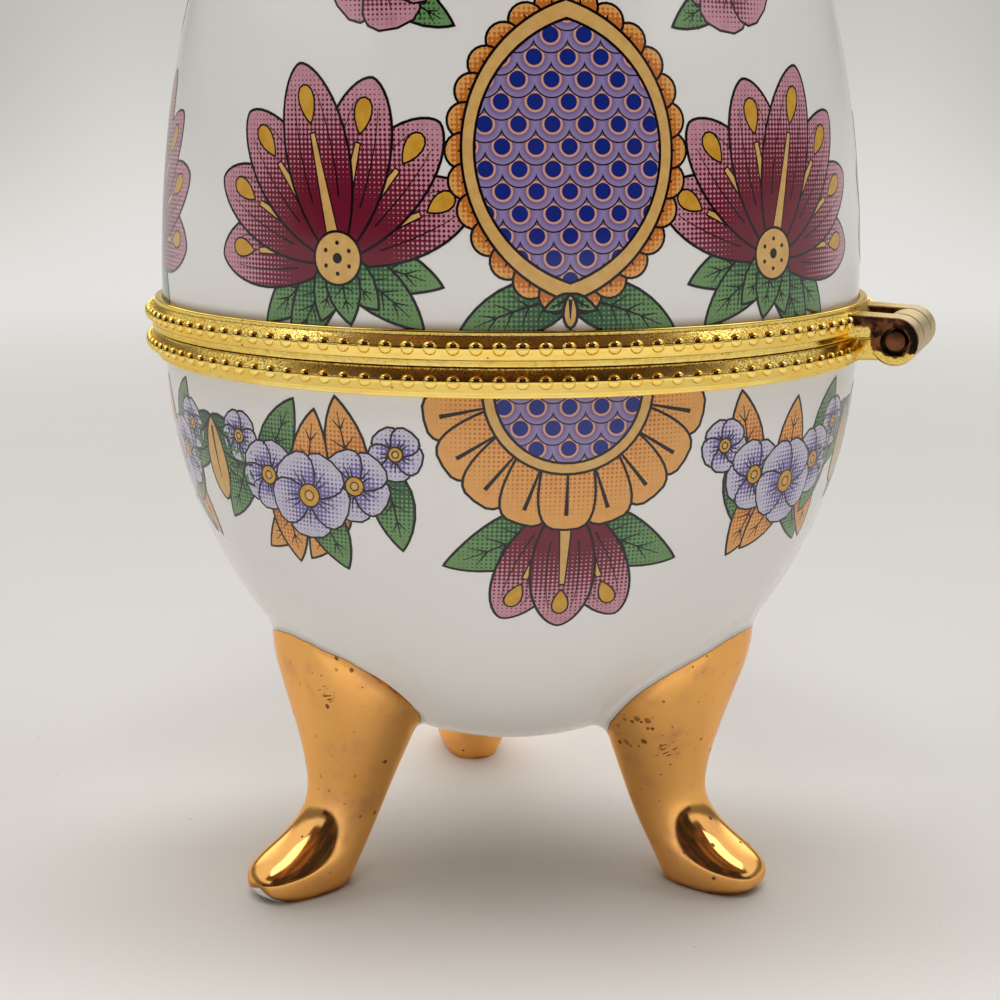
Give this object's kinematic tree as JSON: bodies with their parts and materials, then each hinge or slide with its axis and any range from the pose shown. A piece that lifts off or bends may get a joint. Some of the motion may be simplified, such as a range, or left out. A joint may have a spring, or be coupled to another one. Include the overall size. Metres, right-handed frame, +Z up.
{
  "type": "egg trinket box",
  "caption": "Footed porcelain egg box: a bowl and a tall domed lid, each set in a gilt brass collar and joined by a pinned hinge, on gilded feet, for keeping small things.",
  "frame": {"origin": "on the surface that the box stands on, at the axis of the egg", "axes": "+Z up along the axis of the egg, -Y towards the front that the picture shows, +X towards the hinge side"},
  "size_m": [0.0659, 0.062, 0.1039],
  "materials": {
    "porcelain": "clear glaze over white porcelain, with a printed flower pattern",
    "gold_lustre": "bright gold lustre fired over the glaze, with small pits",
    "gilt_brass": "stamped brass, bright gilt, with a row of beads",
    "cement": "matt bedding cement",
    "pin_brass": "dull copper-brown wire"
  },
  "bodies": {
    "base": {"base_cup": "porcelain", "lower_collar": "gilt_brass", "lower_cement_ring": "cement", "cup_knuckle": "gilt_brass", "hinge_pin": "pin_brass", "front_left_leg": "gold_lustre", "front_right_leg": "gold_lustre", "rear_leg": "gold_lustre"},
    "lid": {"lid_shell": "porcelain", "upper_collar": "gilt_brass", "upper_cement_ring": "cement", "lid_knuckle_front": "gilt_brass", "lid_knuckle_rear": "gilt_brass"}
  },
  "joints": [
    {"name": "lid_hinge", "type": "hinge", "parent": "base", "child": "lid", "pos_m": [0.03127, -0.01201, 0.0473], "axis": [0.3584, 0.9336, 0], "range_deg": [0, 95]}
  ]
}
